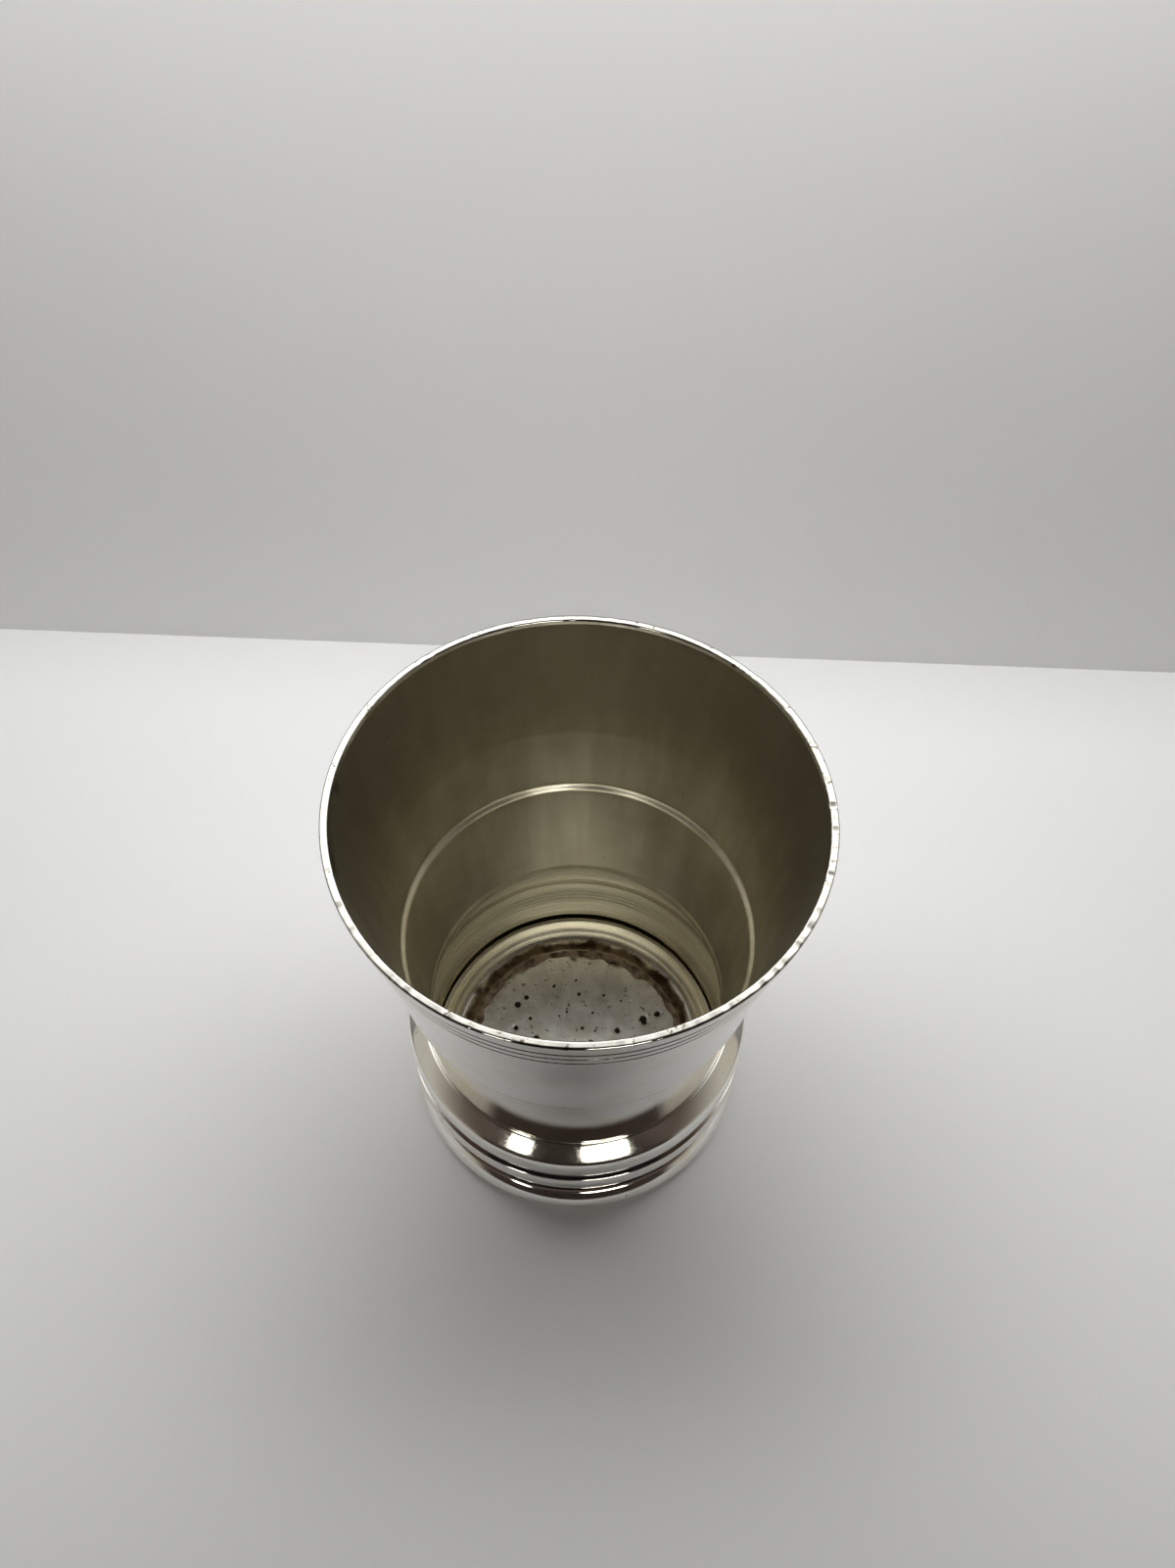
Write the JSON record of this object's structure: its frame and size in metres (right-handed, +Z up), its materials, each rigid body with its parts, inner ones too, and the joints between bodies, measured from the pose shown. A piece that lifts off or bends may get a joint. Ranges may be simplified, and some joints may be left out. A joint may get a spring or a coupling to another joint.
{
  "type": "bar jigger",
  "caption": "Silver-plated spirit measure cup with a flared mouth, waisted body, ringed foot and open top, free-standing.",
  "frame": {"origin": "on the cup's axis, in the plane that the foot stands on", "axes": "+Z up along the cup's axis; the cup is round, so +X and +Y are free"},
  "size_m": [0.05, 0.05, 0.0605],
  "materials": {
    "polished_silver_plate": "silver plate over brass, polished outside, yellowed and rubbed inside",
    "worn_silver_plate": "dull silver plate with dark pits",
    "tarnished_solder": "dark tarnish, matt"
  },
  "bodies": {
    "root": {"flared_body": "polished_silver_plate", "ringed_base": "polished_silver_plate", "floor_disc": "worn_silver_plate", "seam_solder": "tarnished_solder", "floor_solder": "tarnished_solder"}
  },
  "joints": []
}
